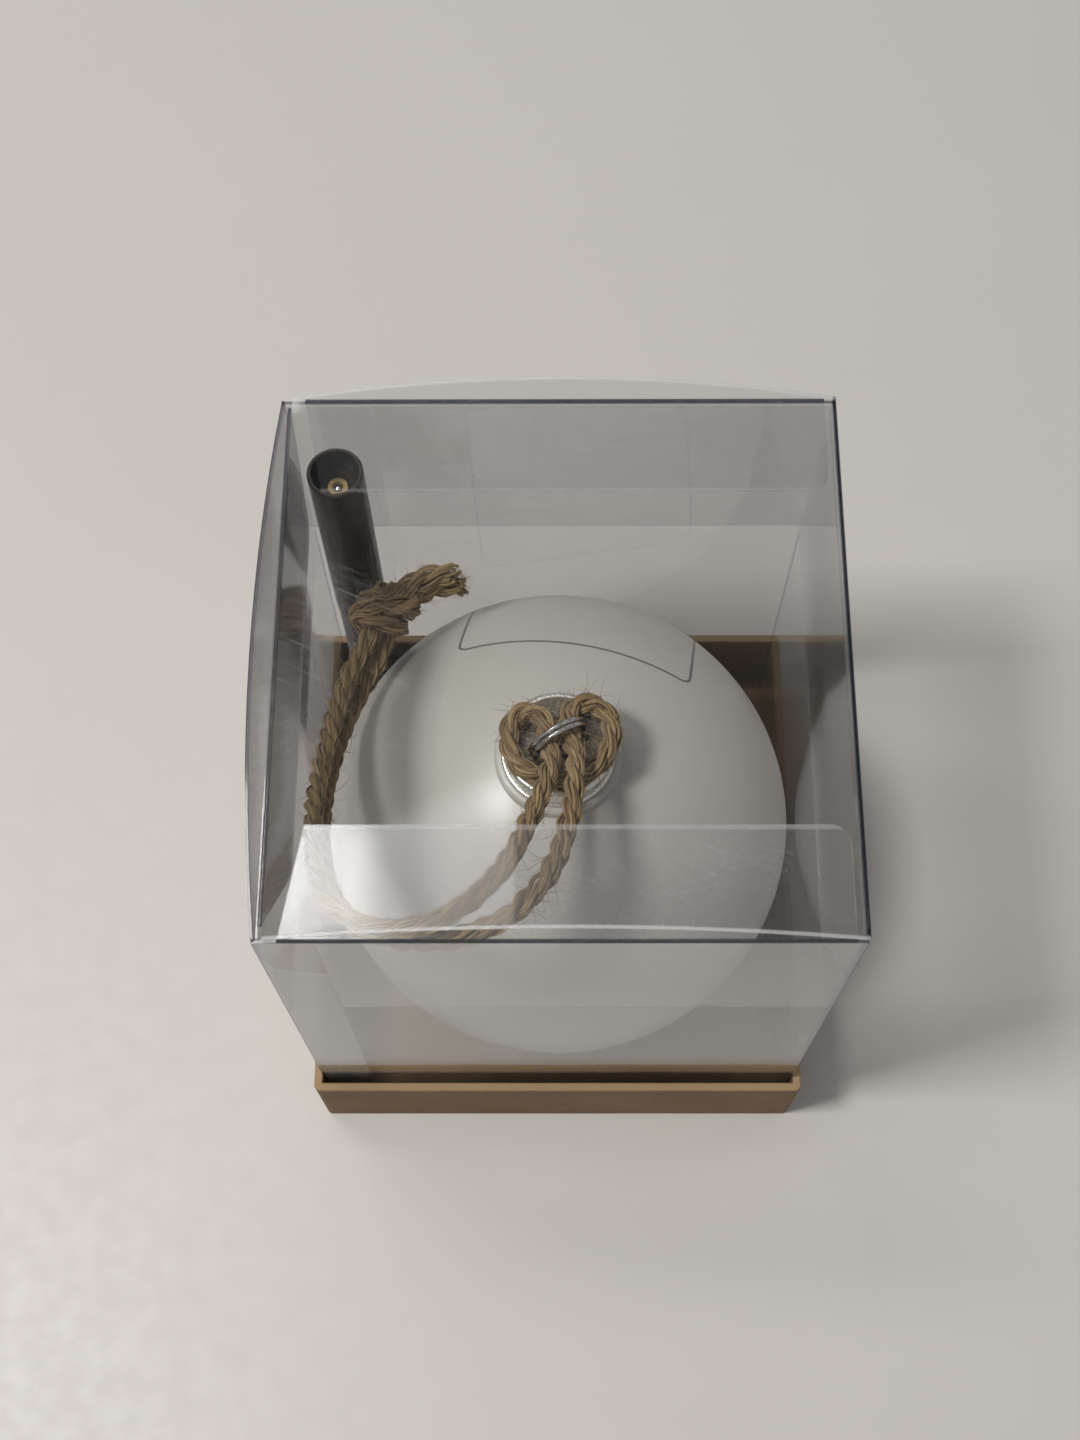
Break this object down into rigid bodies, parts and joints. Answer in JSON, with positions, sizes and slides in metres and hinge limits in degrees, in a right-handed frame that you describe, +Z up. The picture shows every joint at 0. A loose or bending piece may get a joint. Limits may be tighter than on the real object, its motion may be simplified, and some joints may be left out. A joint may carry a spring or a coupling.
{
  "type": "gift boxed ball ornament",
  "caption": "Glazed ball ornament with a metal hanger cap, ring and jute loop, packed with a marker pen in a clear film gift box with a hinged lid on a kraft card tray.",
  "frame": {"origin": "middle of the tray's underside", "axes": "+Z up, +X right as seen from the front, +Y to the back"},
  "size_m": [0.0872, 0.0888, 0.1188],
  "materials": {
    "kraft_card": "uncoated kraft card",
    "clear_film": "clear film",
    "white_glaze": "white glaze",
    "cap_metal": "dark satin metal",
    "bright_wire": "plated wire",
    "jute": "natural jute",
    "dark_metal": "dark gloss",
    "brass": "brass",
    "steel": "bright steel",
    "black_plastic": "black plastic",
    "ink_fibre": "inked fibre"
  },
  "bodies": {
    "tray": {"base_tray": "kraft_card"},
    "cover": {"cover_front_panel": "clear_film", "cover_back_panel": "clear_film", "cover_left_panel": "clear_film", "cover_right_panel": "clear_film", "glue_seam": "clear_film", "inner_collar": "clear_film"},
    "lid": {"lid_panel": "clear_film"},
    "tuck": {"tuck_flap": "clear_film"},
    "front_flap": {"front_dust_flap": "clear_film"},
    "back_flap": {"back_dust_flap": "clear_film"},
    "ball": {"ball_shell": "white_glaze"},
    "hanger": {"hanger_cap": "cap_metal", "spring_clip": "bright_wire", "twine_left": "jute", "twine_right": "jute", "twine_knot": "jute", "twine_ends": "jute"},
    "ring": {"hanger_ring": "bright_wire"},
    "pen": {"pen_barrel": "dark_metal", "pen_plug": "black_plastic", "pen_grip": "black_plastic", "pen_nib": "ink_fibre", "ink_reservoir": "ink_fibre"},
    "pen_top": {"pen_cap": "dark_metal", "cap_bush": "brass", "cap_pin": "steel"}
  },
  "joints": [
    {"name": "cover_lift", "type": "slide", "parent": "tray", "child": "cover", "axis": [0, 0, 1], "range_m": [0, 0.22]},
    {"name": "lid_hinge", "type": "hinge", "parent": "cover", "child": "lid", "pos_m": [0.0413, 0, 0.11285], "axis": [0, 1, 0], "range_deg": [0, 180]},
    {"name": "tuck_fold", "type": "hinge", "parent": "lid", "child": "tuck", "pos_m": [-0.0402, 0, 0.11285], "axis": [0, 1, 0], "range_deg": [0, 18]},
    {"name": "front_flap_fold", "type": "hinge", "parent": "cover", "child": "front_flap", "pos_m": [0, -0.0418, 0.11205], "axis": [1, 0, 0], "range_deg": [0, 36]},
    {"name": "back_flap_fold", "type": "hinge", "parent": "cover", "child": "back_flap", "pos_m": [0, 0.0418, 0.11205], "axis": [-1, 0, 0], "range_deg": [0, 36]},
    {"name": "ball_lift", "type": "slide", "parent": "tray", "child": "ball", "axis": [0, 0, 1], "range_m": [0, 0.077]},
    {"name": "hanger_pull", "type": "slide", "parent": "ball", "child": "hanger", "axis": [0, -0.061, 0.9981], "range_m": [0, 0.022]},
    {"name": "ring_turn", "type": "hinge", "parent": "hanger", "child": "ring", "pos_m": [0, -0.00391, 0.08941], "axis": [0.4695, -0.8813, -0.0539], "continuous": true},
    {"name": "pen_lift", "type": "slide", "parent": "tray", "child": "pen", "axis": [0, 0, 1], "range_m": [0, 0.055]},
    {"name": "pen_cap_pull", "type": "slide", "parent": "pen", "child": "pen_top", "axis": [0, 0, 1], "range_m": [0, 0.044]}
  ],
  "couplings": [
    {"joint": "tuck_fold", "follows": "lid_hinge", "ratio": 0.1},
    {"joint": "front_flap_fold", "follows": "lid_hinge", "ratio": 0.2},
    {"joint": "back_flap_fold", "follows": "lid_hinge", "ratio": 0.2},
    {"joint": "ball_lift", "follows": "cover_lift", "ratio": 0.35},
    {"joint": "hanger_pull", "follows": "cover_lift", "ratio": 0.1},
    {"joint": "pen_lift", "follows": "cover_lift", "ratio": 0.25},
    {"joint": "pen_cap_pull", "follows": "cover_lift", "ratio": 0.2}
  ]
}
